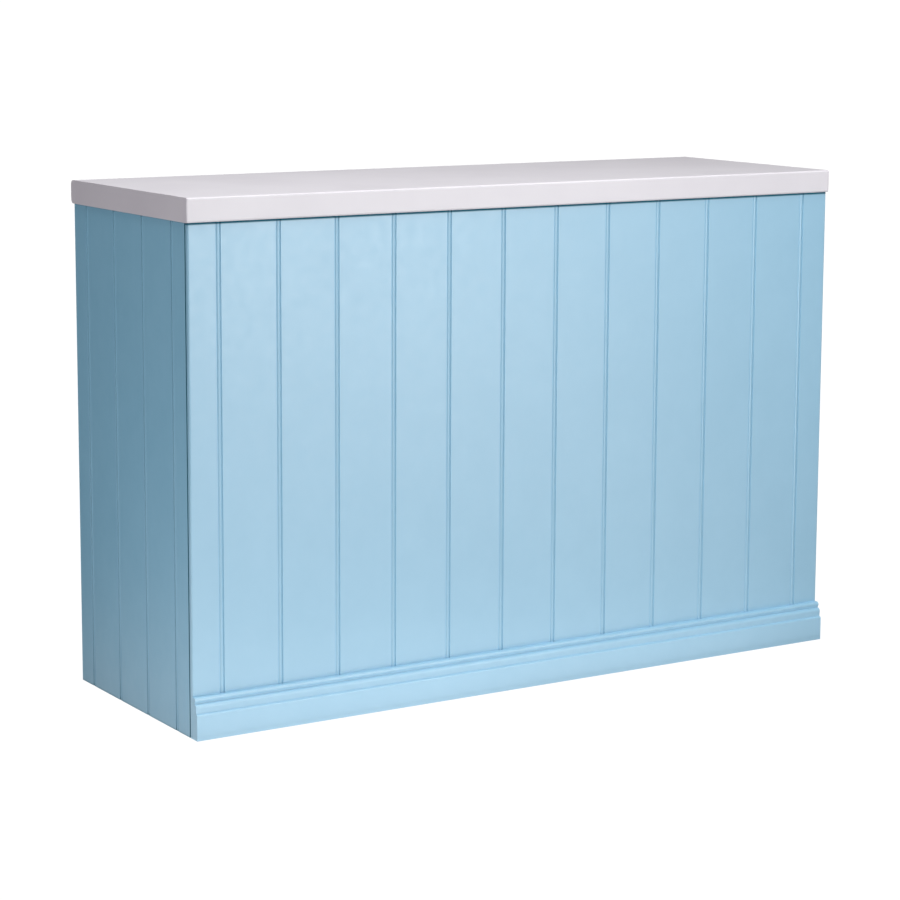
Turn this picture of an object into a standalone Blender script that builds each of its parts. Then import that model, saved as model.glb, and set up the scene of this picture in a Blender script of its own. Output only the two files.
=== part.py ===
"""Bar counter: a framed box clad in beaded tongue-and-groove boards, with a skirting, shelves and a top.

Metres, +Z up. Customers stand at -Y and the back, at +Y, is open to the server.
The origin is on the floor, under the middle of the counter's overall box.
"""

import math

import bmesh
import bpy
from mathutils import Matrix

# Overall sizes
COUNTER_HEIGHT = 1.100
CARCASS_WIDTH = 1.630  # over the faces of the side boards
CARCASS_DEPTH = 0.5413  # from the face of the front boards to the back edges of the sides

# Clearances
SEAT_GAP = 0.0003  # between pieces that touch, fit or are glued together
SHELF_CLEARANCE = 0.0008  # at the ends and the front edge of a shelf that drops in
CORNER_GAP = 0.003  # open joint between the front boards and the edge of a side

# Top: a core with rounded long edges, and a thin strip glued on each cut end
TOP_THICKNESS = 0.050
TOP_END_OVERHANG = 0.003
TOP_FRONT_OVERHANG = 0.004
TOP_BACK_OVERHANG = 0.0093
TOP_FRONT_RADIUS = 0.004
TOP_BACK_RADIUS = 0.010
EDGING_THICKNESS = 0.0015

# Boards: each joint shows a bead between two lines, the second of which is the joint itself
BOARD_THICKNESS = 0.009
BOARD_PITCH = 0.1355
FRONT_FIRST_BEAD = 0.0676  # from the left end of the front to the middle of its first bead
SIDE_FIRST_BEAD = 0.0708  # from the face of the front boards to the side's first bead
LINE_SPACING = 0.0092
LINE_DEPTH = 0.0019
LINE_FLOOR = 0.0009
LINE_SLOPE = 0.0011
TONGUE_LENGTH = 0.007
TONGUE_THICKNESS = 0.003
GROOVE_RELIEF = 0.0005  # spare depth past the tongue's tip
NARROWEST_END_BOARD = 0.020
CORNER_RADIUS = 0.0035  # on the outer edges of the front's two end boards
EDGE_RADIUS = 0.001  # on the upright outer edges of the sides

# Frames: planed battens, half-lapped where they cross
BATTEN_THICKNESS = 0.018
BATTEN_WIDTH = 0.044
BOTTOM_RAIL_WIDTH = 0.094
TENON_LENGTH = 0.006
TENON_THICKNESS = 0.008

# Shelves, given by the height of their upper faces, and the cleats under them
MIDDLE_SHELF_HEIGHT = 0.600
BASE_SHELF_HEIGHT = 0.100
SHELF_THICKNESS = 0.018
SHELF_EDGE_RADIUS = 0.002
CLEAT_HEIGHT = 0.030
CLEAT_THICKNESS = 0.018
CLEAT_CHAMFER = 0.006

# Skirting: a flat face with a rounded arris, a torus, a hollow and a nose
SKIRTING_HEIGHT = 0.0875
SKIRTING_THICKNESS = 0.0205
SKIRTING_FLAT_HEIGHT = 0.0505
SKIRTING_ARRIS_RADIUS = 0.0042
TORUS_SETBACK = 0.0039  # of the torus behind the flat face
TORUS_BASE_HEIGHT = 0.0580
TORUS_BASE_SETBACK = 0.0047
TORUS_RADIUS = 0.0076
TORUS_HEIGHT = 0.0665  # where the torus stands out furthest
NOSE_SETBACK = 0.0092  # of the nose behind the flat face
NOSE_RADIUS = 0.0055

# Angle brackets between the top and the side frames
BRACKET_LEG = 0.038
BRACKET_WIDTH = 0.022
BRACKET_THICKNESS = 0.002
BRACKET_BEND_RADIUS = 0.003  # outside the bend
BRACKET_HOLE_DIAMETER = 0.0045
BRACKET_HOLE_SPACING = 0.018
BRACKET_HOLE_FROM_TIP = 0.007
BRACKET_INSET = 0.110  # from the faces of the front boards and from the back edges

# Worked out from the sizes above
CARCASS_TOP = COUNTER_HEIGHT - TOP_THICKNESS - SEAT_GAP
FRAME_FACE = BOARD_THICKNESS + SEAT_GAP
FRAME_BACK = FRAME_FACE + BATTEN_THICKNESS
CLEAR_INSIDE = FRAME_BACK + SEAT_GAP
SIDE_START = BOARD_THICKNESS + CORNER_GAP
SIDE_LENGTH = CARCASS_DEPTH - SIDE_START
FRONT_REACH = max(SKIRTING_THICKNESS, TOP_FRONT_OVERHANG)
FRONT_Y = FRONT_REACH - (FRONT_REACH + CARCASS_DEPTH + TOP_BACK_OVERHANG) / 2
BACK_Y = FRONT_Y + CARCASS_DEPTH
LEFT_X = -CARCASS_WIDTH / 2
MIDDLE_SHELF_UNDERSIDE = MIDDLE_SHELF_HEIGHT - SHELF_THICKNESS
BASE_SHELF_UNDERSIDE = BASE_SHELF_HEIGHT - SHELF_THICKNESS

# Heights of the rails in every frame, and of the rails across the open back
FRAME_RAILS = {
    "bottom_rail": (0.0, BOTTOM_RAIL_WIDTH),
    "middle_rail": (MIDDLE_SHELF_UNDERSIDE - SEAT_GAP - BATTEN_WIDTH, MIDDLE_SHELF_UNDERSIDE - SEAT_GAP),
    "top_rail": (CARCASS_TOP - BATTEN_WIDTH, CARCASS_TOP),
}
BACK_RAILS = {
    "back_bottom_rail": (0.0, BASE_SHELF_UNDERSIDE - SEAT_GAP),
    "back_shelf_rail": (MIDDLE_SHELF_UNDERSIDE - SEAT_GAP - BATTEN_WIDTH, MIDDLE_SHELF_UNDERSIDE - SEAT_GAP),
    "back_top_rail": (CARCASS_TOP - BATTEN_WIDTH, CARCASS_TOP),
}

# Turns an outline in Y and Z, swept along local Z, to one that runs along X
ALONG_X = Matrix(((0, 0, 1, 0), (1, 0, 0, 0), (0, 1, 0, 0), (0, 0, 0, 1)))


def clear_scene():
    for item in list(bpy.data.objects):
        bpy.data.objects.remove(item, do_unlink=True)


def make_finish(name, colour, roughness, metallic=0.0):
    """A plain material with the colour, roughness and metallic value of one real finish."""
    finish = bpy.data.materials.new(name)
    finish.use_nodes = True
    shader = finish.node_tree.nodes["Principled BSDF"]
    shader.inputs["Base Color"].default_value = (*colour, 1.0)
    shader.inputs["Roughness"].default_value = roughness
    shader.inputs["Metallic"].default_value = metallic
    return finish


def add_object(name, solid, finish, parent=None, location=(0.0, 0.0, 0.0), turn=0.0):
    """Turn a bmesh into a named object, turned about Z by an angle in degrees."""
    mesh = bpy.data.meshes.new(name)
    solid.to_mesh(mesh)
    solid.free()
    mesh.shade_smooth()
    mesh.set_sharp_from_angle(angle=math.radians(30))
    piece = bpy.data.objects.new(name, mesh)
    if finish is not None:
        mesh.materials.append(finish)
    bpy.context.scene.collection.objects.link(piece)
    piece.parent = parent
    piece.location = location
    piece.rotation_euler = (0.0, 0.0, math.radians(turn))
    return piece


def add_axes(name, location, turn):
    """An empty that carries one panel, so that every panel is made alike and then turned."""
    axes = bpy.data.objects.new(name, None)
    bpy.context.scene.collection.objects.link(axes)
    axes.location = location
    axes.rotation_euler = (0.0, 0.0, math.radians(turn))
    return axes


def arc(centre, radius, start, end, steps):
    """Points along an arc, with its angles in degrees."""
    points = []
    for step in range(steps + 1):
        angle = math.radians(start + (end - start) * step / steps)
        points.append((centre[0] + radius * math.cos(angle), centre[1] + radius * math.sin(angle)))
    return points


def sweep(outline, length, along_x=False):
    """Sweep an outline in X and Y upwards, or an outline in Y and Z along X."""
    solid = bmesh.new()
    face = solid.faces.new([solid.verts.new((a, b, 0.0)) for a, b in outline])
    swept = bmesh.ops.extrude_face_region(solid, geom=[face])
    moved = [item for item in swept["geom"] if isinstance(item, bmesh.types.BMVert)]
    bmesh.ops.translate(solid, vec=(0.0, 0.0, length), verts=moved)
    bmesh.ops.recalc_face_normals(solid, faces=solid.faces)
    if along_x:
        bmesh.ops.transform(solid, matrix=ALONG_X, verts=solid.verts)
    return solid


def hide_cutter(cutter):
    cutter.hide_render = True
    cutter.display_type = "WIRE"


def cut(piece, cutter):
    modifier = piece.modifiers.new(cutter.name, "BOOLEAN")
    modifier.operation = "DIFFERENCE"
    modifier.solver = "EXACT"
    modifier.object = cutter


def left_board_edge(start, is_end, radius):
    """The outline of a board's left side, from its back to its face: a groove, or an outer edge."""
    if is_end:
        return [(start, BOARD_THICKNESS)] + arc((start + radius, radius), radius, 180, 270, 5)
    middle = (LINE_DEPTH + BOARD_THICKNESS) / 2
    half_groove = TONGUE_THICKNESS / 2 + SEAT_GAP
    bottom = start + TONGUE_LENGTH + SEAT_GAP + GROOVE_RELIEF
    floor = start + (LINE_FLOOR - SEAT_GAP) / 2
    return [
        (start, BOARD_THICKNESS),
        (start, middle + half_groove),
        (bottom, middle + half_groove),
        (bottom, middle - half_groove),
        (start, middle - half_groove),
        (start, LINE_DEPTH),
        (floor, LINE_DEPTH),
        (floor + LINE_SLOPE, 0.0),
    ]


def right_board_edge(end, is_end, radius):
    """The outline of a board's right side, from its face to its back: bead and tongue, or an outer edge."""
    if is_end:
        return arc((end - radius, radius), radius, 270, 360, 5) + [(end, BOARD_THICKNESS)]
    bead = end + SEAT_GAP / 2 - LINE_SPACING / 2
    half_chord = (LINE_SPACING - LINE_FLOOR) / 2
    bead_radius = (half_chord**2 + LINE_DEPTH**2) / (2 * LINE_DEPTH)
    half_angle = math.degrees(math.asin(half_chord / bead_radius))
    line_start = bead - (LINE_SPACING + LINE_FLOOR) / 2
    middle = (LINE_DEPTH + BOARD_THICKNESS) / 2
    half_tongue = TONGUE_THICKNESS / 2
    return [
        (line_start - LINE_SLOPE, 0.0),
        (line_start, LINE_DEPTH),
        *arc((bead, bead_radius), bead_radius, 270 - half_angle, 270 + half_angle, 8),
        (end, LINE_DEPTH),
        (end, middle - half_tongue),
        (end + TONGUE_LENGTH, middle - half_tongue),
        (end + TONGUE_LENGTH, middle + half_tongue),
        (end, middle + half_tongue),
        (end, BOARD_THICKNESS),
    ]


def make_boards(axes, number_form, width, beads, radius, finish):
    """Clad a panel from left to right, with one board between each joint and the next."""
    joints = [bead + LINE_SPACING / 2 for bead in beads]
    starts = [0.0] + [joint + SEAT_GAP / 2 for joint in joints]
    ends = [joint - SEAT_GAP / 2 for joint in joints] + [width]
    for number, (start, end) in enumerate(zip(starts, ends), start=1):
        outline = left_board_edge(start, number == 1, radius)
        outline += right_board_edge(end, number == len(ends), radius)
        add_object(number_form.format(number), sweep(outline, CARCASS_TOP), finish, axes)


def lapped_outline(length, laps, cut_back):
    """A batten seen edge on, with half its thickness cut away, at its back or its face, at each lap."""
    kept = (BATTEN_THICKNESS - SEAT_GAP) / 2
    if cut_back:
        full, lapped, plain = BATTEN_THICKNESS, kept, 0.0
    else:
        full, lapped, plain = 0.0, BATTEN_THICKNESS - kept, BATTEN_THICKNESS
    outline = [(0.0, plain)]
    if laps[0][0] > 0.0:
        outline.append((0.0, full))
    for start, end in laps:
        if start > 0.0:
            outline.append((start, full))
        outline.append((max(start, 0.0), lapped))
        outline.append((min(end, length), lapped))
        if end < length:
            outline.append((end, full))
    if laps[-1][1] < length:
        outline.append((length, full))
    outline.append((length, plain))
    return outline


def make_frame(axes, prefix, start, end, stiles, finish):
    """Rails from start to end of a panel, lapped over the faces of its stiles."""
    length = end - start
    stile_laps = [(at - SEAT_GAP - start, at + BATTEN_WIDTH + SEAT_GAP - start) for at in stiles.values()]
    for name, (bottom, top) in FRAME_RAILS.items():
        solid = sweep(lapped_outline(length, stile_laps, cut_back=True), top - bottom)
        add_object(prefix + "_" + name, solid, finish, axes, (start, FRAME_FACE, bottom))
    rail_laps = [(bottom - SEAT_GAP, top + SEAT_GAP) for bottom, top in FRAME_RAILS.values()]
    made = {}
    for name, at in stiles.items():
        upright = [(y, z) for z, y in lapped_outline(CARCASS_TOP, rail_laps, cut_back=False)]
        solid = sweep(upright, BATTEN_WIDTH, along_x=True)
        made[name] = add_object(prefix + "_" + name, solid, finish, axes, (at, FRAME_FACE, 0.0))
    return made


def make_cleats(axes, side, start, end, finish):
    """Battens screwed inside a frame, chamfered below, that a shelf rests on."""
    back = CLEAR_INSIDE + CLEAT_THICKNESS
    for shelf, underside in (("middle", MIDDLE_SHELF_UNDERSIDE), ("base", BASE_SHELF_UNDERSIDE)):
        top = underside - SEAT_GAP
        bottom = top - CLEAT_HEIGHT
        outline = [
            (CLEAR_INSIDE, bottom),
            (back - CLEAT_CHAMFER, bottom),
            (back, bottom + CLEAT_CHAMFER),
            (back, top),
            (CLEAR_INSIDE, top),
        ]
        solid = sweep(outline, end - start, along_x=True)
        add_object(shelf + "_shelf_cleat_" + side, solid, finish, axes, (start, 0.0, 0.0))


def make_front(board_finish, frame_finish):
    """Front panel: boards and frame, with the skirting in front and a cleat behind for each shelf."""
    axes = add_axes("front_panel", (LEFT_X, FRONT_Y, 0.0), 0.0)
    count = 1 + math.floor((CARCASS_WIDTH - NARROWEST_END_BOARD - FRONT_FIRST_BEAD) / BOARD_PITCH)
    beads = [FRONT_FIRST_BEAD + BOARD_PITCH * index for index in range(count)]
    make_boards(axes, "front_board_{:02d}", CARCASS_WIDTH, beads, CORNER_RADIUS, board_finish)
    stiles = {
        "left_stile": FRAME_FACE,
        "centre_stile": (CARCASS_WIDTH - BATTEN_WIDTH) / 2,
        "right_stile": CARCASS_WIDTH - FRAME_FACE - BATTEN_WIDTH,
    }
    make_frame(axes, "front", FRAME_FACE, CARCASS_WIDTH - FRAME_FACE, stiles, frame_finish)
    make_cleats(axes, "front", CLEAR_INSIDE, CARCASS_WIDTH - CLEAR_INSIDE, frame_finish)
    make_skirting(axes, board_finish)


def make_skirting(axes, finish):
    """Moulded skirting, its ends cut square at the corners of the front."""
    base = SKIRTING_THICKNESS - TORUS_BASE_SETBACK
    torus = SKIRTING_THICKNESS - TORUS_SETBACK
    hollow = torus - TORUS_RADIUS
    nose = SKIRTING_THICKNESS - NOSE_SETBACK
    arris_centre = (SKIRTING_THICKNESS - SKIRTING_ARRIS_RADIUS, SKIRTING_FLAT_HEIGHT)
    nose_centre = (nose - NOSE_RADIUS, SKIRTING_HEIGHT - NOSE_RADIUS)
    nose_start = -math.degrees(math.acos((hollow - nose_centre[0]) / NOSE_RADIUS))
    profile = [
        (SEAT_GAP, 0.0),
        (SKIRTING_THICKNESS, 0.0),
        *arc(arris_centre, SKIRTING_ARRIS_RADIUS, 0, 90, 6),
        (base, SKIRTING_FLAT_HEIGHT + SKIRTING_ARRIS_RADIUS),
        (base, TORUS_BASE_HEIGHT),
        *arc((hollow, TORUS_HEIGHT), TORUS_RADIUS, 0, 90, 8),
        *arc(nose_centre, NOSE_RADIUS, nose_start, 90, 9),
        (SEAT_GAP, SKIRTING_HEIGHT),
    ]
    outline = [(-reach, height) for reach, height in profile]
    add_object("skirting_board", sweep(outline, CARCASS_WIDTH, along_x=True), finish, axes)


def side_beads():
    """Distances of the side beads behind the face of the front boards."""
    count = 1 + math.floor((CARCASS_DEPTH - NARROWEST_END_BOARD - SIDE_FIRST_BEAD) / BOARD_PITCH)
    return [SIDE_FIRST_BEAD + BOARD_PITCH * index for index in range(count)]


def make_left_side(board_finish, frame_finish):
    """Left panel, laid out from the open back, at its left, to the front."""
    axes = add_axes("left_panel", (LEFT_X, BACK_Y, 0.0), -90.0)
    beads = [CARCASS_DEPTH - distance for distance in reversed(side_beads())]
    make_boards(axes, "left_board_{}", SIDE_LENGTH, beads, EDGE_RADIUS, board_finish)
    frame_end = CARCASS_DEPTH - CLEAR_INSIDE
    stiles = {"back_stile": 0.0, "front_stile": frame_end - BATTEN_WIDTH}
    made = make_frame(axes, "left", 0.0, frame_end, stiles, frame_finish)
    cleat_end = frame_end - CLEAT_THICKNESS - SEAT_GAP
    make_cleats(axes, "left", BATTEN_THICKNESS + SEAT_GAP, cleat_end, frame_finish)
    return made["back_stile"]


def make_right_side(board_finish, frame_finish):
    """Right panel, laid out from the front, at its left, to the open back."""
    axes = add_axes("right_panel", (-LEFT_X, FRONT_Y + SIDE_START, 0.0), 90.0)
    beads = [distance - SIDE_START for distance in side_beads()]
    make_boards(axes, "right_board_{}", SIDE_LENGTH, beads, EDGE_RADIUS, board_finish)
    frame_start = CLEAR_INSIDE - SIDE_START
    stiles = {"front_stile": frame_start, "back_stile": SIDE_LENGTH - BATTEN_WIDTH}
    made = make_frame(axes, "right", frame_start, SIDE_LENGTH, stiles, frame_finish)
    cleat_start = frame_start + CLEAT_THICKNESS + SEAT_GAP
    make_cleats(axes, "right", cleat_start, SIDE_LENGTH - BATTEN_THICKNESS - SEAT_GAP, frame_finish)
    return made["back_stile"]


def make_back_rails(back_stiles, finish):
    """Rails that tie the sides together, with stub tenons housed in the back stiles."""
    shoulder = CARCASS_WIDTH / 2 - CLEAR_INSIDE
    tip = shoulder + TENON_LENGTH
    near = (BATTEN_THICKNESS - TENON_THICKNESS) / 2
    far = near + TENON_THICKNESS
    half = [(shoulder, 0.0), (shoulder, near), (tip, near), (tip, far), (shoulder, far), (shoulder, BATTEN_THICKNESS)]
    outline = half + [(-x, y) for x, y in reversed(half)]
    front = BACK_Y - BATTEN_THICKNESS
    for name, (bottom, top) in BACK_RAILS.items():
        add_object(name, sweep(outline, top - bottom), finish, None, (0.0, front, bottom))
        for side, stile in back_stiles.items():
            housing = [
                (shoulder * side, near - SEAT_GAP),
                ((tip + SEAT_GAP) * side, near - SEAT_GAP),
                ((tip + SEAT_GAP) * side, far + SEAT_GAP),
                (shoulder * side, far + SEAT_GAP),
            ]
            solid = sweep(housing, top - bottom + 2 * SEAT_GAP)
            place = (0.0, front, bottom - SEAT_GAP)
            cutter = add_object("housing_cutter", solid, None, None, place)
            hide_cutter(cutter)
            cut(stile, cutter)


def make_shelf(name, height, finish):
    """Shelf that drops in on its cleats, with the edge at the open back rounded over."""
    end = CARCASS_WIDTH / 2 - FRAME_BACK - SHELF_CLEARANCE
    front = FRONT_Y + FRAME_BACK + SHELF_CLEARANCE
    radius = SHELF_EDGE_RADIUS
    outline = [
        (front, height - SHELF_THICKNESS),
        *arc((BACK_Y - radius, height - SHELF_THICKNESS + radius), radius, -90, 0, 4),
        *arc((BACK_Y - radius, height - radius), radius, 0, 90, 4),
        (front, height),
    ]
    add_object(name, sweep(outline, 2 * end, along_x=True), finish, None, (-end, 0.0, 0.0))


def make_top(finish):
    """Top with rounded long edges, and the strips that close its cut ends."""
    front = FRONT_Y - TOP_FRONT_OVERHANG
    back = BACK_Y + TOP_BACK_OVERHANG
    bottom = COUNTER_HEIGHT - TOP_THICKNESS
    outline = [
        *arc((front + TOP_FRONT_RADIUS, COUNTER_HEIGHT - TOP_FRONT_RADIUS), TOP_FRONT_RADIUS, 90, 180, 6),
        *arc((front + TOP_FRONT_RADIUS, bottom + TOP_FRONT_RADIUS), TOP_FRONT_RADIUS, 180, 270, 6),
        *arc((back - TOP_BACK_RADIUS, bottom + TOP_BACK_RADIUS), TOP_BACK_RADIUS, 270, 360, 8),
        *arc((back - TOP_BACK_RADIUS, COUNTER_HEIGHT - TOP_BACK_RADIUS), TOP_BACK_RADIUS, 0, 90, 8),
    ]
    end = CARCASS_WIDTH / 2 + TOP_END_OVERHANG
    core_end = end - EDGING_THICKNESS - SEAT_GAP
    add_object("counter_top", sweep(outline, 2 * core_end, along_x=True), finish, None, (-core_end, 0.0, 0.0))
    for name, start in (("top_edging_left", -end), ("top_edging_right", end - EDGING_THICKNESS)):
        add_object(name, sweep(outline, EDGING_THICKNESS, along_x=True), finish, None, (start, 0.0, 0.0))


def drill(solid, x, y, z, along):
    """Add a drill-sized rod through a point, upright or along Y."""
    turned = Matrix.Rotation(math.radians(90), 4, "X") if along == "Y" else Matrix.Identity(4)
    bmesh.ops.create_cone(
        solid,
        cap_ends=True,
        segments=16,
        radius1=BRACKET_HOLE_DIAMETER / 2,
        radius2=BRACKET_HOLE_DIAMETER / 2,
        depth=4 * BRACKET_THICKNESS,
        matrix=Matrix.Translation((x, y, z)) @ turned,
    )


def make_bracket(name, x, y, turn, finish):
    """Pressed steel angle: one leg down the side frame's top rail and one in under the top."""
    leg, thickness, radius = BRACKET_LEG, BRACKET_THICKNESS, BRACKET_BEND_RADIUS
    outline = [
        *arc((radius, -radius), radius, 180, 90, 5),
        (leg, 0.0),
        (leg, -thickness),
        *arc((radius, -radius), radius - thickness, 90, 180, 5),
        (thickness, -leg),
        (0.0, -leg),
    ]
    place = (x, y, CARCASS_TOP)
    bracket = add_object(name, sweep(outline, BRACKET_WIDTH, along_x=True), finish, None, place, turn)
    rods = bmesh.new()
    for far in (leg - BRACKET_HOLE_FROM_TIP, leg - BRACKET_HOLE_FROM_TIP - BRACKET_HOLE_SPACING):
        drill(rods, BRACKET_WIDTH / 2, far, -thickness / 2, "Z")
        drill(rods, BRACKET_WIDTH / 2, thickness / 2, -far, "Y")
    drills = add_object("bracket_drills", rods, None, None, place, turn)
    hide_cutter(drills)
    cut(bracket, drills)


def make_brackets(finish):
    """Two brackets on each side frame, near the front and near the back."""
    face = CARCASS_WIDTH / 2 - CLEAR_INSIDE
    near = FRONT_Y + BRACKET_INSET
    far = BACK_Y - BRACKET_INSET
    half = BRACKET_WIDTH / 2
    for place, y in (("front", near), ("back", far)):
        make_bracket("top_bracket_left_" + place, -face, y + half, -90.0, finish)
        make_bracket("top_bracket_right_" + place, face, y - half, 90.0, finish)


clear_scene()
paint = make_finish("satin_blue_paint", (0.36, 0.57, 0.70), 0.45)
laminate = make_finish("white_laminate", (0.80, 0.79, 0.80), 0.35)
softwood = make_finish("planed_softwood", (0.68, 0.49, 0.30), 0.60)
plywood = make_finish("birch_plywood", (0.72, 0.57, 0.39), 0.50)
zinc = make_finish("zinc_plate", (0.62, 0.63, 0.65), 0.35, 1.0)

make_front(paint, softwood)
left_back_stile = make_left_side(paint, softwood)
right_back_stile = make_right_side(paint, softwood)
make_back_rails({-1: left_back_stile, 1: right_back_stile}, softwood)
make_shelf("middle_shelf", MIDDLE_SHELF_HEIGHT, plywood)
make_shelf("base_shelf", BASE_SHELF_HEIGHT, plywood)
make_top(laminate)
make_brackets(zinc)
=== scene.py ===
"""Looks of the bar counter: its finishes, its small fasteners, and the studio it is shown in.

Metres, +Z up. Customers stand at -Y and the back, at +Y, is open. The order is that of the assembly.
"""

import math

import bmesh
import bpy
from mathutils import Matrix, Vector


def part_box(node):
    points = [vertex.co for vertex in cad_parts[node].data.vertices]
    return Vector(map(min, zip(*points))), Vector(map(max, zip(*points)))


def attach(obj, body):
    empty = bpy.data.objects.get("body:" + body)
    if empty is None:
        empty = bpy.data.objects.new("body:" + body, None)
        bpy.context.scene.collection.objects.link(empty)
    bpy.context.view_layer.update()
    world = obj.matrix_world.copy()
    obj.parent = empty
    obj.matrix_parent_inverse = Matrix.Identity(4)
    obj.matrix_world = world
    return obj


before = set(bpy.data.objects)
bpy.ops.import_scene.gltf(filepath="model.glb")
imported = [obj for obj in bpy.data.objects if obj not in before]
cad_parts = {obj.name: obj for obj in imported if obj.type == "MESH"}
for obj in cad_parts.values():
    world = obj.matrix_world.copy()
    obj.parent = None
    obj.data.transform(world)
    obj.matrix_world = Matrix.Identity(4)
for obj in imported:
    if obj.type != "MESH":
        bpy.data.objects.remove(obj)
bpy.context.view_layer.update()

# Boards: the front and both sides are clad in 9 mm wood fibre boards, tongued and grooved, with a bead
# between two sunk lines at each joint. They are pinned to the frames and sprayed satin pale blue.
FRONT_BOARDS = ["front_board_%02d" % number for number in range(1, 14)]
SIDE_BOARDS = ["%s_board_%d" % (side, number) for side in ("left", "right") for number in range(1, 6)]
PAINT_DEEP = (0.203, 0.428, 0.592)
PAINT_PALE = (0.219, 0.447, 0.612)
# Painted light: a lighter blue drawn into the shallow hollow of the front and the skirting.
PAINT_HOLLOW_LIGHT = (0.262, 0.535, 0.730)
# Painted shade: a dark blue drawn into crevices, into the corner gap and under the top.
PAINT_SHADE = (0.030, 0.120, 0.172)
PAINT_ROUGHNESS = (0.46, 0.53)
FRONT_IOR = 2.356
SIDE_IOR = 1.878
DRIFT_SCALE = 2.4
MOTTLE_SCALE = 17.0
SHEEN_SCALE = 45.0
SPRAY_SCALE = 850.0
SPRAY_HEIGHT = 0.00006
CREVICE_REACH = 0.010
# Openness ranges through which painted shade darkens crevices, and painted light brightens the front's
# shallow hollow.
FRONT_SHADED_GAPS = (0.05, 0.30)
FRONT_LIT_HOLLOWS = (0.45, 0.88)
SIDE_SHADED_GAPS = (0.25, 0.80)
# Painted shadow: a band on the front boards under the top's overhang.
SHADE_UNDER_TOP = (0.0052, 0.0028)  # below the upper ends of the front boards
# Painted shade: a band on the side boards' front edges, in the corner gap.
SHADE_AT_CORNER = (0.0018, 0.0008)  # behind the front edges of the sides


def new_finish(name, roughness, metallic=0.0):
    """A node material, with its tree, its surface shader and the coordinates of the whole counter."""
    finish = bpy.data.materials.new(name)
    finish.use_nodes = True
    tree = finish.node_tree
    surface = tree.nodes["Principled BSDF"]
    surface.inputs["Roughness"].default_value = roughness
    surface.inputs["Metallic"].default_value = metallic
    place = tree.nodes.new("ShaderNodeTexCoord").outputs["Object"]
    return finish, tree, surface, place


def add(tree, kind, inputs, output=0, **settings):
    """Add a node whose inputs each take a value or another node's output, and return one output."""
    node = tree.nodes.new("ShaderNode" + kind)
    for setting, value in settings.items():
        setattr(node, setting, value)
    for key, value in inputs.items():
        if isinstance(value, bpy.types.NodeSocket):
            tree.links.new(value, node.inputs[key])
        else:
            node.inputs[key].default_value = value
    return node.outputs[output]


def split(tree, vector):
    """The X, Y and Z of a vector."""
    node = tree.nodes.new("ShaderNodeSeparateXYZ")
    tree.links.new(vector, node.inputs[0])
    return node.outputs


def noise(tree, place, scale, detail=3.0, stretch=(1.0, 1.0, 1.0)):
    """Noise from 0 to 1 with so many features to the metre, drawn out by a stretch for each axis."""
    turned = add(tree, "Mapping", {"Vector": place, "Scale": stretch})
    return add(tree, "TexNoise", {"Vector": turned, "Scale": scale, "Detail": detail})


def blend(tree, factor, first, second):
    """A colour that goes from the first to the second with the factor."""
    ends = {"Factor": factor}
    for key, colour in ((6, first), (7, second)):
        ends[key] = colour if isinstance(colour, bpy.types.NodeSocket) else (*colour, 1.0)
    return add(tree, "Mix", ends, 2, data_type="RGBA")


def spread(tree, value, low, high, to_low=0.0, to_high=1.0):
    """A value's range from low to high, stretched to a new range and held at its ends."""
    return add(tree, "MapRange", {0: value, 1: low, 2: high, 3: to_low, 4: to_high})


def raise_surface(tree, surface, height, distance):
    """Bump of so many metres on a surface shader."""
    bump = add(tree, "Bump", {"Height": height, "Distance": distance})
    tree.links.new(bump, surface.inputs["Normal"])


def coat(names, finish):
    """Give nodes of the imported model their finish."""
    for name in names:
        for material_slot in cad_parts[name].material_slots:
            material_slot.material = finish


def sprayed_paint(name, ior, shaded_edge, shaded_gaps, lit_hollows=None):
    """Satin paint with a fine sprayed texture.

    Painted shade darkens a band along one edge: given are its axis, where the shade starts and where it is
    full.
    Openness is 0 in a crevice and 1 on an open face. Where it falls through the shaded range, painted shade
    darkens the colour and dims the reflection; painted light brightens each hollow if that range is given.
    """
    finish, tree, surface, place = new_finish(name, PAINT_ROUGHNESS[0])
    surface.inputs["IOR"].default_value = ior
    drift = noise(tree, place, DRIFT_SCALE)
    mottle = noise(tree, place, MOTTLE_SCALE, 4.0)
    tone = add(tree, "Math", {0: drift, 1: mottle}, operation="ADD")
    colour = blend(tree, spread(tree, tone, 0.75, 1.25), PAINT_DEEP, PAINT_PALE)
    openness = add(tree, "AmbientOcclusion", {"Distance": CREVICE_REACH}, 1, samples=8)
    # Painted light: each shallow hollow is drawn a lighter blue.
    if lit_hollows:
        colour = blend(tree, spread(tree, openness, *lit_hollows, 1.0, 0.0), colour, PAINT_HOLLOW_LIGHT)
    # Painted shade: crevices that the occlusion finds, and a band along one edge, are drawn dark with their
    # reflection dimmed.
    axis, shade_starts, shade_full = shaded_edge
    edge = spread(tree, split(tree, place)[axis], shade_starts, shade_full)
    gap_shade = spread(tree, openness, *shaded_gaps, 1.0, 0.0)
    painted_shade = add(tree, "Math", {0: gap_shade, 1: edge}, operation="MAXIMUM")
    tree.links.new(blend(tree, painted_shade, colour, PAINT_SHADE), surface.inputs["Base Color"])
    tree.links.new(spread(tree, painted_shade, 0.0, 1.0, 0.5, 0.0), surface.inputs["Specular IOR Level"])
    sheen = spread(tree, noise(tree, place, SHEEN_SCALE), 0.3, 0.7, *PAINT_ROUGHNESS)
    tree.links.new(sheen, surface.inputs["Roughness"])
    raise_surface(tree, surface, noise(tree, place, SPRAY_SCALE, 2.0), SPRAY_HEIGHT)
    return finish


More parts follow.
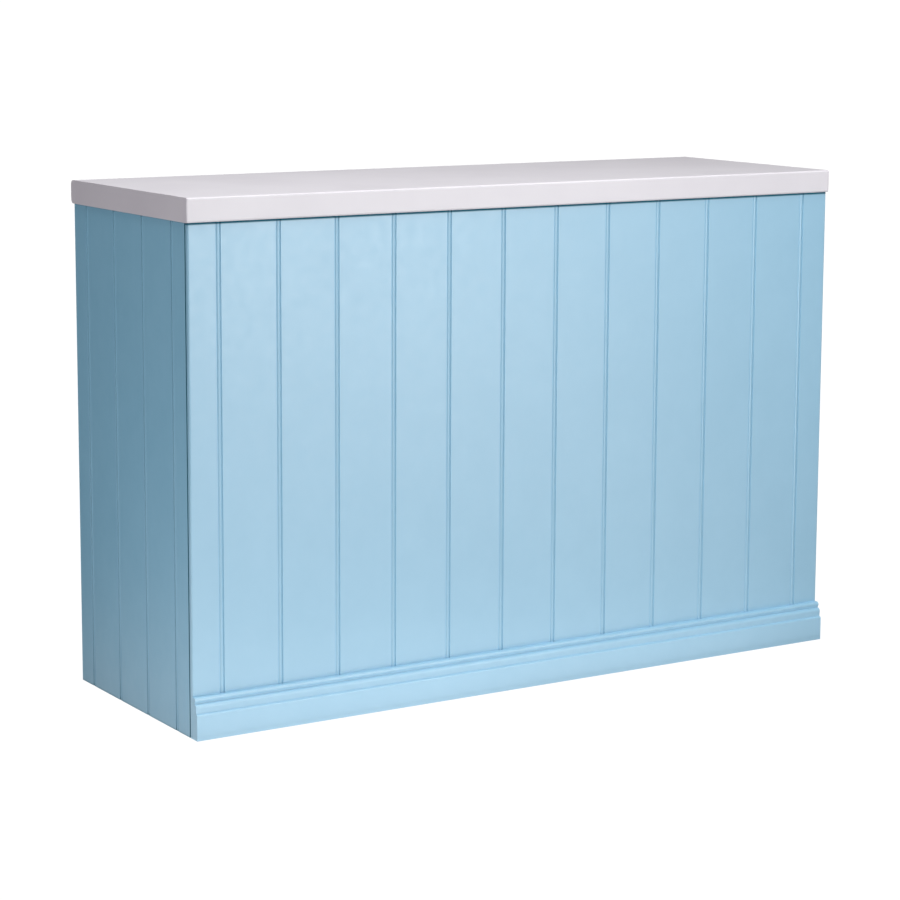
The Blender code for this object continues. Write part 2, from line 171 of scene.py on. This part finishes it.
# Painted shadow: the front boards darken just under the top's overhang.
boards_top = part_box(FRONT_BOARDS[0])[1].z
shade_under_top = ("Z", boards_top - SHADE_UNDER_TOP[0], boards_top - SHADE_UNDER_TOP[1])
front_paint = sprayed_paint("satin_blue_paint_front", FRONT_IOR, shade_under_top, FRONT_SHADED_GAPS, FRONT_LIT_HOLLOWS)
coat(FRONT_BOARDS, front_paint)
# Painted shade: the side boards darken along their front edges, in the corner gap.
front_edge = min(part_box(board)[0].y for board in SIDE_BOARDS)
shade_at_corner = ("Y", front_edge + SHADE_AT_CORNER[0], front_edge + SHADE_AT_CORNER[1])
side_paint = sprayed_paint("satin_blue_paint_sides", SIDE_IOR, shade_at_corner, SIDE_SHADED_GAPS)
coat(SIDE_BOARDS, side_paint)

# Skirting: one length of moulded wood fibre, pinned along the foot of the front and painted with it.
# Its ends are cut square, flush with the sides.
coat(["skirting_board"], front_paint)

# Frames: planed pine battens behind the boards, half-lapped and glued where they cross.
# The rails run level and the stiles upright.
RAILS = ("top_rail", "middle_rail", "bottom_rail")
FRONT_STILES = ("front_left_stile", "front_centre_stile", "front_right_stile")
AXES = {"X": 0, "Y": 1, "Z": 2}
PINE_PALE = (0.80, 0.585, 0.335)
PINE_DARK = (0.60, 0.365, 0.165)
PINE_KNOT = (0.23, 0.105, 0.040)
PINE_ROUGHNESS = (0.58, 0.46)  # early wood and late wood
RING_SPACING = 0.0052
RING_STRETCH = 0.08
HEART_BESIDE = 0.03
HEART_BEHIND = 0.09
BEND_SCALE = 9.0
BEND_REACH = 0.035
KNOT_SPACING = 0.16
KNOT_EDGE = (0.045, 0.075)  # in knot spacings, like the next
KNOT_SWIRL = (0.04, 0.22)
PINE_FIBRE_SCALE = 520.0
PINE_FIBRE_STRETCH = 0.02
PINE_FIBRE_HEIGHT = 0.00012
OVERSPRAY_SHADE_DEPTH = 0.0005
OVERSPRAY_SHADE_FADE = 0.0002


def planed_pine(name, along, through, overspray_shade_from=None):
    """Pine sawn along one axis, with its knots running through the batten along another.

    Beyond a distance from the middle of the counter, if one is given, the boards' paint lies on it as
    painted shade.
    """
    finish, tree, surface, place = new_finish(name, PINE_ROUGHNESS[0])
    across = next(axis for axis in "XYZ" if axis not in (along, through))
    parts = split(tree, place)
    face = add(tree, "CombineXYZ", {0: parts[along], 1: parts[across]})
    knot = add(tree, "TexVoronoi", {"Vector": face, "Scale": 1 / KNOT_SPACING}, voronoi_dimensions="2D")
    near_knot = spread(tree, knot, *KNOT_SWIRL, 1.0, 0.0)
    stretch = [1.0, 1.0, 1.0]
    stretch[AXES[along]] = RING_STRETCH
    bend = noise(tree, place, BEND_SCALE, 2.0, stretch)
    swirl = add(tree, "Math", {0: bend, 1: near_knot}, operation="ADD")
    centre = [HEART_BESIDE, HEART_BESIDE, HEART_BESIDE]
    centre[AXES[through]] = HEART_BEHIND
    heart = add(tree, "Mapping", {"Vector": place, "Location": centre, "Scale": stretch})
    bent = add(tree, "Math", {0: swirl, 1: BEND_REACH}, operation="MULTIPLY")
    rings_at = add(tree, "VectorMath", {0: heart, 1: bent}, operation="ADD")
    rings = add(
        tree,
        "TexWave",
        {"Vector": rings_at, "Scale": math.tau / 20 / RING_SPACING, "Distortion": 0.6, "Detail": 2.0},
        wave_type="RINGS",
        rings_direction=along,
        wave_profile="SAW",
    )
    fibre_stretch = [1.0, 1.0, 1.0]
    fibre_stretch[AXES[along]] = PINE_FIBRE_STRETCH
    fibre = noise(tree, place, PINE_FIBRE_SCALE, 3.0, fibre_stretch)
    late = spread(tree, rings, 0.35, 1.0)
    grain = blend(tree, late, PINE_PALE, PINE_DARK)
    streaked = blend(tree, spread(tree, fibre, 0.3, 0.75, 0.0, 0.35), grain, PINE_DARK)
    colour = blend(tree, spread(tree, knot, *KNOT_EDGE, 1.0, 0.0), streaked, PINE_KNOT)
    if overspray_shade_from is not None:
        off_middle = add(tree, "Math", {0: parts["X"]}, operation="ABSOLUTE")
        overspray_shade = spread(tree, off_middle, overspray_shade_from, overspray_shade_from + OVERSPRAY_SHADE_FADE)
        colour = blend(tree, overspray_shade, colour, PAINT_SHADE)
    tree.links.new(colour, surface.inputs["Base Color"])
    tree.links.new(spread(tree, late, 0.0, 1.0, *PINE_ROUGHNESS), surface.inputs["Roughness"])
    raise_surface(tree, surface, fibre, PINE_FIBRE_HEIGHT)
    return finish


# Overspray and painted shade: the front stiles' outer faces, seen through the corner gap, take the dark
# shade colour.
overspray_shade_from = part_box("front_right_stile")[1].x - OVERSPRAY_SHADE_DEPTH
front_rail_pine = planed_pine("planed_pine_front_rails", "X", "Y", overspray_shade_from)
front_stile_pine = planed_pine("planed_pine_front_stiles", "Z", "Y", overspray_shade_from)
side_rail_pine = planed_pine("planed_pine_side_rails", "Y", "X")
side_stile_pine = planed_pine("planed_pine_side_stiles", "Z", "X")
coat(["front_" + rail for rail in RAILS], front_rail_pine)
coat(FRONT_STILES, front_stile_pine)
for side in ("left", "right"):
    coat(["%s_%s" % (side, rail) for rail in RAILS], side_rail_pine)
    coat([side + "_front_stile", side + "_back_stile"], side_stile_pine)

# Back rails: three pine rails across the open back, under the top, under the middle shelf and at the
# floor. Their stub tenons are glued into the back stiles.
coat(["back_top_rail", "back_shelf_rail", "back_bottom_rail"], front_rail_pine)

# Cleats: pine battens screwed inside the frames, along the front and both sides, under each shelf.
# Their lower edge is chamfered.
SHELVES = ("middle_shelf", "base_shelf")
for shelf in SHELVES:
    coat([shelf + "_cleat_front"], front_rail_pine)
    coat([shelf + "_cleat_left", shelf + "_cleat_right"], side_rail_pine)

# Shelves: 18 mm birch plywood, varnished, with the plies bare along the rounded edge at the back.
# They drop in from behind and lie on the cleats.
BIRCH_PALE = (0.775, 0.625, 0.430)
BIRCH_DARK = (0.655, 0.485, 0.300)
BIRCH_ROUGHNESS = 0.42
BIRCH_FIBRE_SCALE = 420.0
BIRCH_FIBRE_HEIGHT = 0.00006
PLIES = 13
PLY_CROSS = (0.52, 0.345, 0.190)
PLY_FIBRE_SCALE = 700.0
GLUE_COLOUR = (0.16, 0.085, 0.045)
GLUE_THICKNESS = 0.00012


def birch_plywood(name, underside, thickness):
    """Plywood whose face veneer runs along X and whose edges show the plies, light and dark in turn."""
    finish, tree, surface, place = new_finish(name, BIRCH_ROUGHNESS)
    figure = add(
        tree,
        "TexWave",
        {
            "Vector": add(tree, "Mapping", {"Vector": place, "Scale": (0.10, 1.0, 1.0)}),
            "Scale": 7.0,
            "Distortion": 5.0,
            "Detail": 3.0,
            "Detail Scale": 1.6,
        },
        bands_direction="Y",
    )
    fibre = noise(tree, place, BIRCH_FIBRE_SCALE, 3.0, (0.03, 1.0, 1.0))
    veneer = blend(tree, spread(tree, figure, 0.0, 1.0, 0.0, 0.55), BIRCH_PALE, BIRCH_DARK)
    veneer = blend(tree, spread(tree, fibre, 0.35, 0.8, 0.0, 0.4), veneer, BIRCH_DARK)
    rise = add(tree, "Math", {0: split(tree, place)["Z"], 1: underside}, operation="SUBTRACT")
    from_glue = add(tree, "Math", {0: rise, 1: thickness / PLIES}, operation="PINGPONG")
    turn = add(tree, "Math", {0: rise, 1: 2 * thickness / PLIES}, operation="DIVIDE")
    turn = add(tree, "Math", {0: turn}, operation="FRACT")
    is_cross = add(tree, "Math", {0: turn, 1: 0.5}, operation="GREATER_THAN")
    cross_fibre = noise(tree, place, PLY_FIBRE_SCALE, 2.0, (0.3, 1.0, 1.0))
    cross = blend(tree, cross_fibre, PLY_CROSS, BIRCH_DARK)
    plies = blend(tree, is_cross, BIRCH_PALE, cross)
    glue = spread(tree, from_glue, 0.0, GLUE_THICKNESS, 0.55, 0.0)
    plies = blend(tree, glue, plies, GLUE_COLOUR)
    normal = tree.nodes.new("ShaderNodeNewGeometry").outputs["Normal"]
    level = add(tree, "Math", {0: split(tree, normal)["Z"]}, operation="ABSOLUTE")
    colour = blend(tree, spread(tree, level, 0.75, 0.9), plies, veneer)
    tree.links.new(colour, surface.inputs["Base Color"])
    raise_surface(tree, surface, fibre, BIRCH_FIBRE_HEIGHT)
    return finish


for shelf in SHELVES:
    low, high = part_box(shelf)
    coat([shelf], birch_plywood("birch_plywood_" + shelf, low.z, high.z - low.z))

# Brackets: pressed steel angles, zinc plated, that hold the top down to the side frames. Each has one leg
# down a frame's top rail and the other in under the top.
BRACKETS = ["top_bracket_%s_%s" % (side, end) for side in ("left", "right") for end in ("front", "back")]
ZINC_PALE = (0.73, 0.74, 0.755)
ZINC_DULL = (0.58, 0.60, 0.625)
ZINC_ROUGHNESS = (0.26, 0.42)
CRYSTAL_SCALE = 190.0
ZINC_GRAIN_SCALE = 900.0
ZINC_GRAIN_HEIGHT = 0.00002


def zinc_plate(name):
    """Bright zinc: faint crystals, and a roughness that changes from one to the next."""
    finish, tree, surface, place = new_finish(name, ZINC_ROUGHNESS[0], 1.0)
    crystal = add(tree, "TexVoronoi", {"Vector": place, "Scale": CRYSTAL_SCALE}, 1)
    shade = add(tree, "RGBToBW", {0: crystal})
    tree.links.new(blend(tree, shade, ZINC_DULL, ZINC_PALE), surface.inputs["Base Color"])
    tree.links.new(spread(tree, shade, 0.0, 1.0, *ZINC_ROUGHNESS), surface.inputs["Roughness"])
    raise_surface(tree, surface, noise(tree, place, ZINC_GRAIN_SCALE, 2.0), ZINC_GRAIN_HEIGHT)
    return finish


zinc = zinc_plate("zinc_plate")
coat(BRACKETS, zinc)

# Screws: cross-headed and zinc plated. Pan heads hold the brackets to the side frames and the top, and
# countersunk ones go through the cleats and through the laps of the frames' top rails.
PAN_HEAD = [(0.0027, 0.0024), (0.0033, 0.0021), (0.0037, 0.0014), (0.0038, 0.0006), (0.0037, 0.0)]
FLAT_HEAD = [(0.0037, 0.00025), (0.0039, 0.0002), (0.0040, 0.0), (0.0020, -0.0024)]
SCREW_STEPS = 24
SHANK_RADIUS = 0.0018
SHANK_STEP = 0.0001  # below the head
POINT_RADIUS = 0.0001
POINT_LENGTH = 0.005
RECESS_RIM = 0.0004
RECESS_REACH = 0.0021
RECESS_HALF_WIDTH = 0.00048
RECESS_DEPTH = 0.0013
RECESS_TAPER = 0.45
SCREW_TURN = 0.7  # from one screw to the next
SHARP_ANGLE = 35.0
FACINGS = {"left": Vector((1, 0, 0)), "right": Vector((-1, 0, 0)), "front": Vector((0, 1, 0))}
BRACKET_SCREW_LENGTH = 0.016
BRACKET_HOLES = (0.013, 0.031)  # from the outside of the bend
BRACKET_THICKNESS = 0.002
CLEAT_SCREW_LENGTH = 0.030
CLEAT_SCREW_DROP = 0.012
CLEAT_SCREW_COUNTS = {"left": 3, "right": 3, "front": 6}
LAP_SCREW_LENGTH = 0.016
LAP_SCREW_OFFSET = 0.010
SCREWED_LAPS = {
    "front": ("centre_stile",),
    "left": ("front_stile", "back_stile"),
    "right": ("front_stile", "back_stile"),
}


def make_screw(name, head, length):
    """A screw with its axis on Z, drawn by its head, and its seat at the origin."""
    profile = head + [
        (SHANK_RADIUS, head[-1][1] - SHANK_STEP),
        (SHANK_RADIUS, POINT_LENGTH - length),
        (POINT_RADIUS, -length),
    ]
    solid = bmesh.new()
    points = [solid.verts.new((radius, 0.0, height)) for radius, height in profile]
    lines = [solid.edges.new(pair) for pair in zip(points, points[1:])]
    bmesh.ops.spin(
        solid,
        geom=points + lines,
        cent=(0.0, 0.0, 0.0),
        axis=(0.0, 0.0, 1.0),
        angle=math.tau,
        steps=SCREW_STEPS,
        use_merge=True,
    )
    bmesh.ops.holes_fill(solid, edges=solid.edges, sides=SCREW_STEPS)
    top = max(solid.faces, key=lambda face: face.calc_center_median().z)
    bmesh.ops.inset_individual(solid, faces=[top], thickness=RECESS_RIM)
    for point in top.verts:
        angle = math.atan2(point.co.y, point.co.x)
        off_arm = abs((angle + math.pi / 4) % (math.pi / 2) - math.pi / 4)
        reach = min(RECESS_REACH, RECESS_HALF_WIDTH / max(math.sin(off_arm), 0.01))
        point.co.xy = reach * math.cos(angle), reach * math.sin(angle)
    recess = bmesh.ops.extrude_discrete_faces(solid, faces=[top])["faces"][0]
    bmesh.ops.scale(solid, vec=(RECESS_TAPER, RECESS_TAPER, 1.0), verts=recess.verts)
    bmesh.ops.translate(solid, vec=(0.0, 0.0, -RECESS_DEPTH), verts=recess.verts)
    bmesh.ops.recalc_face_normals(solid, faces=solid.faces)
    mesh = bpy.data.meshes.new(name)
    solid.to_mesh(mesh)
    solid.free()
    return mesh


def add_screws(name, screw, places):
    """Copies of one screw, each at a point and with its head facing a direction, as one piece."""
    solid = bmesh.new()
    for number, (point, facing) in enumerate(places):
        before = len(solid.verts)
        solid.from_mesh(screw)
        turn = facing.to_track_quat("Z", "Y").to_matrix().to_4x4()
        matrix = Matrix.Translation(point) @ turn @ Matrix.Rotation(number * SCREW_TURN, 4, "Z")
        bmesh.ops.transform(solid, matrix=matrix, verts=solid.verts[before:])
    mesh = bpy.data.meshes.new(name)
    solid.to_mesh(mesh)
    solid.free()
    mesh.shade_smooth()
    mesh.set_sharp_from_angle(angle=math.radians(SHARP_ANGLE))
    mesh.materials.append(zinc)
    screws = bpy.data.objects.new(name, mesh)
    bpy.context.scene.collection.objects.link(screws)
    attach(screws, "root")


bracket_screw = make_screw("pan_head_screw", PAN_HEAD, BRACKET_SCREW_LENGTH)
for bracket in BRACKETS:
    low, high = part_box(bracket)
    middle = (low.y + high.y) / 2
    inward = 1.0 if low.x < 0 else -1.0
    corner = low.x if low.x < 0 else high.x
    places = []
    for hole in BRACKET_HOLES:
        on_top = Vector((corner + inward * hole, middle, high.z - BRACKET_THICKNESS))
        on_frame = Vector((corner + inward * BRACKET_THICKNESS, middle, high.z - hole))
        places.append((on_top, Vector((0, 0, -1))))
        places.append((on_frame, Vector((inward, 0, 0))))
    add_screws(bracket.replace("top_bracket", "bracket_screws"), bracket_screw, places)

cleat_screw = make_screw("long_countersunk_screw", FLAT_HEAD, CLEAT_SCREW_LENGTH)
for shelf in SHELVES:
    for side, facing in FACINGS.items():
        low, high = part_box("%s_cleat_%s" % (shelf, side))
        height = high.z - CLEAT_SCREW_DROP
        if side == "front":
            along = Vector((high.x - low.x, 0, 0))
            start = Vector((low.x, high.y, height))
        else:
            along = Vector((0, high.y - low.y, 0))
            start = Vector((high.x if side == "left" else low.x, low.y, height))
        count = CLEAT_SCREW_COUNTS[side]
        places = [(start + along * (index + 0.5) / count, facing) for index in range(count)]
        add_screws("%s_cleat_screws_%s" % (shelf, side), cleat_screw, places)

lap_screw = make_screw("short_countersunk_screw", FLAT_HEAD, LAP_SCREW_LENGTH)
for panel, stiles in SCREWED_LAPS.items():
    rail_low, rail_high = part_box(panel + "_top_rail")
    height = (rail_low.z + rail_high.z) / 2
    places = []
    for stile in stiles:
        low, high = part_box("%s_%s" % (panel, stile))
        middle = (low + high) / 2
        for offset in (-LAP_SCREW_OFFSET, LAP_SCREW_OFFSET):
            if panel == "front":
                point = Vector((middle.x + offset, high.y, height + offset))
            else:
                inner_face = high.x if panel == "left" else low.x
                point = Vector((inner_face, middle.y + offset, height + offset))
            places.append((point, FACINGS[panel]))
    add_screws(panel + "_frame_screws", lap_screw, places)

# Top: a 50 mm core with a white satin laminate formed round its long edges, and a strip of the same white
# glued on each cut end, drawn a darker, lilac white as painted shade.
LAMINATE_DEEP = (0.640, 0.618, 0.658)
LAMINATE_PALE = (0.667, 0.646, 0.685)
LAMINATE_ROUGHNESS = (0.37, 0.44)
EDGING_SHADED_DEEP = (0.576, 0.540, 0.596)
EDGING_SHADED_PALE = (0.600, 0.566, 0.620)
EDGING_ROUGHNESS = (0.41, 0.48)
TONE_SCALE = 6.0
PEARL_SCALE = 620.0
PEARL_HEIGHT = 0.00006


def satin_laminate(name, deep, pale, roughness):
    """White laminate with a fine pearl texture and a slight drift of tone."""
    finish, tree, surface, place = new_finish(name, roughness[0])
    tone = spread(tree, noise(tree, place, TONE_SCALE, 4.0), 0.35, 0.65)
    tree.links.new(blend(tree, tone, deep, pale), surface.inputs["Base Color"])
    pearl = noise(tree, place, PEARL_SCALE, 2.0)
    tree.links.new(spread(tree, pearl, 0.3, 0.7, *roughness), surface.inputs["Roughness"])
    raise_surface(tree, surface, pearl, PEARL_HEIGHT)
    return finish


top_finish = satin_laminate("white_laminate", LAMINATE_DEEP, LAMINATE_PALE, LAMINATE_ROUGHNESS)
coat(["counter_top"], top_finish)
# Painted shade: the end strips are a darker white than the top.
shaded_edging_finish = satin_laminate("shaded_white_edging", EDGING_SHADED_DEEP, EDGING_SHADED_PALE, EDGING_ROUGHNESS)
coat(["top_edging_left", "top_edging_right"], shaded_edging_finish)

# Studio: a white floor that runs into a white backdrop. Softboxes hang over the front and at both ends,
# one stands behind, and two stand low in front, whose sheen lies on the front boards. Lit patches of the
# floor, out of the camera's sight, brighten the foot of the front and the left side.
AMBIENT = 0.055
WHITE = 1.05
FLOOR_SIZE = 24.0
WHITE_FLOOR_HEIGHT = -0.0005
LIT_FLOOR_HEIGHT = -0.001
SOFTBOXES = {
    "key": {"place": (-0.8, -1.0, 4.2), "aim": (0.0, 0.0, 0.7), "size": (2.2, 1.6), "power": 138.0},
    "front": {"place": (1.1, -2.3, 3.1), "aim": (0.0, -0.2, 0.5), "size": (1.6, 1.0), "power": 28.0},
    "near_sheen": {"place": (0.5, -3.9, 1.0), "aim": (-0.6, -0.27, 0.5), "size": (1.2, 1.2), "power": 14.0},
    "far_sheen": {"place": (1.5, -3.8, 1.1), "aim": (-0.2, -0.27, 0.5), "size": (1.3, 1.2), "power": 45.0},
    "left": {"place": (-3.6, 0.6, 2.6), "aim": (-0.8, 0.0, 0.7), "size": (1.8, 1.4), "power": 26.0},
    "right": {"place": (3.5, 0.3, 2.4), "aim": (0.8, 0.0, 0.6), "size": (1.6, 1.2), "power": 16.0},
    "back": {"place": (0.4, 4.0, 0.68), "aim": (0.0, 0.3, 0.5), "size": (1.6, 0.7), "power": 55.0},
}
LIT_PATCHES = {
    "left_side": {"centre": (-1.95, -0.88), "stretch": (1.0, 1.0), "reach": (0.3, 2.1), "strength": 2.22},
    "skirting": {"centre": (0.3, -0.38), "stretch": (0.50, 7.0), "reach": (0.15, 0.9), "strength": 1.15},
    "front_foot": {"centre": (0.0, -0.62), "stretch": (0.70, 1.5), "reach": (0.15, 0.8), "strength": 0.85},
    "front_sheen": {"centre": (1.0, -2.5), "stretch": (1.1, 0.55), "reach": (0.3, 1.1), "strength": 3.0},
}


def add_softbox(name, place, aim, size, power):
    """A rectangular area light that the camera doesn't see."""
    light = bpy.data.lights.new(name, "AREA")
    light.shape = "RECTANGLE"
    light.size, light.size_y = size
    light.energy = power
    softbox = bpy.data.objects.new(name, light)
    softbox.location = place
    softbox.rotation_euler = (Vector(aim) - Vector(place)).to_track_quat("-Z", "Y").to_euler()
    softbox.visible_camera = False
    bpy.context.scene.collection.objects.link(softbox)


def shining_finish(name):
    """A finish that gives off white light and reflects none, with its tree, shader and coordinates."""
    finish, tree, surface, place = new_finish(name, 1.0)
    surface.inputs["Base Color"].default_value = (0.0, 0.0, 0.0, 1.0)
    surface.inputs["Specular IOR Level"].default_value = 0.0
    surface.inputs["Emission Color"].default_value = (1.0, 1.0, 1.0, 1.0)
    surface.inputs["Emission Strength"].default_value = WHITE
    return finish, tree, surface, place


def add_floor(name, height, finish):
    """A level square that is part of the stage."""
    solid = bmesh.new()
    bmesh.ops.create_grid(solid, x_segments=8, y_segments=8, size=FLOOR_SIZE / 2)
    bmesh.ops.translate(solid, vec=(0.0, 0.0, height), verts=solid.verts)
    mesh = bpy.data.meshes.new(name)
    solid.to_mesh(mesh)
    solid.free()
    mesh.materials.append(finish)
    floor = bpy.data.objects.new(name, mesh)
    bpy.context.scene.collection.objects.link(floor)
    return floor


for name, softbox in SOFTBOXES.items():
    add_softbox(name + "_softbox", **softbox)

white_floor = add_floor("white_floor", WHITE_FLOOR_HEIGHT, shining_finish("white_floor")[0])
white_floor.visible_diffuse = False
white_floor.visible_glossy = False

glow, tree, surface, place = shining_finish("floor_glow")
glow_strength = 0.0
for patch in LIT_PATCHES.values():
    offset = add(tree, "VectorMath", {0: place, 1: (*patch["centre"], 0.0)}, operation="SUBTRACT")
    offset = add(tree, "VectorMath", {0: offset, 1: (*patch["stretch"], 1.0)}, operation="MULTIPLY")
    away = add(tree, "VectorMath", {0: offset}, 1, operation="LENGTH")
    share = spread(tree, away, *patch["reach"], patch["strength"], 0.0)
    glow_strength = add(tree, "Math", {0: share, 1: glow_strength}, operation="ADD")
tree.links.new(glow_strength, surface.inputs["Emission Strength"])
floor_glow = add_floor("floor_glow", LIT_FLOOR_HEIGHT, glow)
floor_glow.visible_camera = False

world = bpy.data.worlds.new("studio")
world.use_nodes = True
bpy.context.scene.world = world
tree = world.node_tree
backdrop = tree.nodes["Background"]
backdrop.inputs["Color"].default_value = (1.0, 1.0, 1.0, 1.0)
seen = tree.nodes.new("ShaderNodeLightPath").outputs["Is Camera Ray"]
tree.links.new(spread(tree, seen, 0.0, 1.0, AMBIENT, WHITE), backdrop.inputs["Strength"])

# Camera: at standing eye height and nearly six metres off, with a long lens. It stands in front of the
# counter and to its left, so that the front and the left side both show.
CAMERA_PLACE = (-3.106, -4.89485, 1.5139)
CAMERA_HEADING = 32.094  # degrees to the right of +Y
CAMERA_TILT = -8.718
CAMERA_ROLL = 0.246
CAMERA_LENS = 104.614
CAMERA_SHIFT = -0.07
camera_data = bpy.data.cameras.new("camera")
camera_data.lens = CAMERA_LENS
camera_data.shift_y = CAMERA_SHIFT
camera_data.clip_end = 100.0
camera = bpy.data.objects.new("camera", camera_data)
bpy.context.scene.collection.objects.link(camera)
camera.matrix_world = (
    Matrix.Translation(CAMERA_PLACE)
    @ Matrix.Rotation(math.radians(-CAMERA_HEADING), 4, "Z")
    @ Matrix.Rotation(math.radians(90.0 + CAMERA_TILT), 4, "X")
    @ Matrix.Rotation(math.radians(CAMERA_ROLL), 4, "Z")
)
bpy.context.scene.camera = camera
bpy.context.scene.view_settings.view_transform = "Standard"
